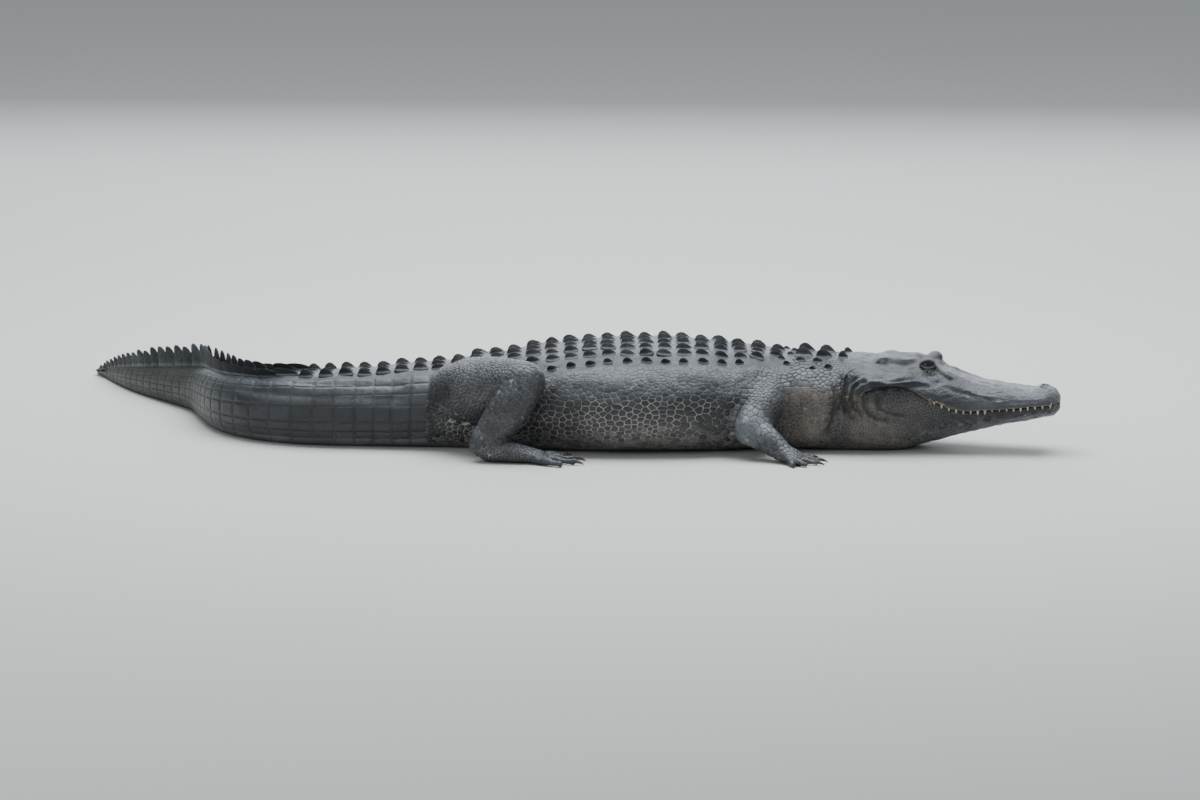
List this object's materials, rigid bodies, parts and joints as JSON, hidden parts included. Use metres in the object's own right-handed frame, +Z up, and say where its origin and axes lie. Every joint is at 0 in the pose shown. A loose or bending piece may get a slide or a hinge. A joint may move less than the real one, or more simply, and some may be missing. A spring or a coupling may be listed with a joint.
{
  "type": "american alligator",
  "caption": "Still, life-size alligator lying on its belly with its mouth shut, keeled scutes along the back and the tail swung round to its left.",
  "frame": {"origin": "middle of the base of the bounding box, on the floor", "axes": "+X ahead along the back towards the snout, +Y to the animal's left, +Z up"},
  "size_m": [2.7353, 1.5316, 0.2973],
  "materials": {
    "hide": "satin slate-grey scaled hide",
    "jaw": "satin brownish grey skin of the lower jaw and throat",
    "eye": "wet dark brown eye",
    "claw": "dark horn"
  },
  "bodies": {
    "root": {"torso": "hide", "neck": "hide", "head": "hide", "tail_base": "hide", "tail_fore": "hide", "tail_middle": "hide", "tail_rear": "hide", "tail_tip": "hide", "thigh_left": "hide", "shank_left": "hide", "hind_foot_left": "hide", "upper_arm_left": "hide", "forearm_left": "hide", "front_foot_left": "hide", "thigh_right": "hide", "shank_right": "hide", "hind_foot_right": "hide", "upper_arm_right": "hide", "forearm_right": "hide", "front_foot_right": "hide", "lower_jaw": "jaw", "eye_left": "eye", "eye_right": "eye", "hind_claw_left_1": "claw", "hind_claw_left_2": "claw", "hind_claw_left_3": "claw", "hind_claw_right_1": "claw", "hind_claw_right_2": "claw", "hind_claw_right_3": "claw", "front_claw_left_1": "claw", "front_claw_left_2": "claw", "front_claw_left_3": "claw", "front_claw_right_1": "claw", "front_claw_right_2": "claw", "front_claw_right_3": "claw"}
  },
  "joints": []
}
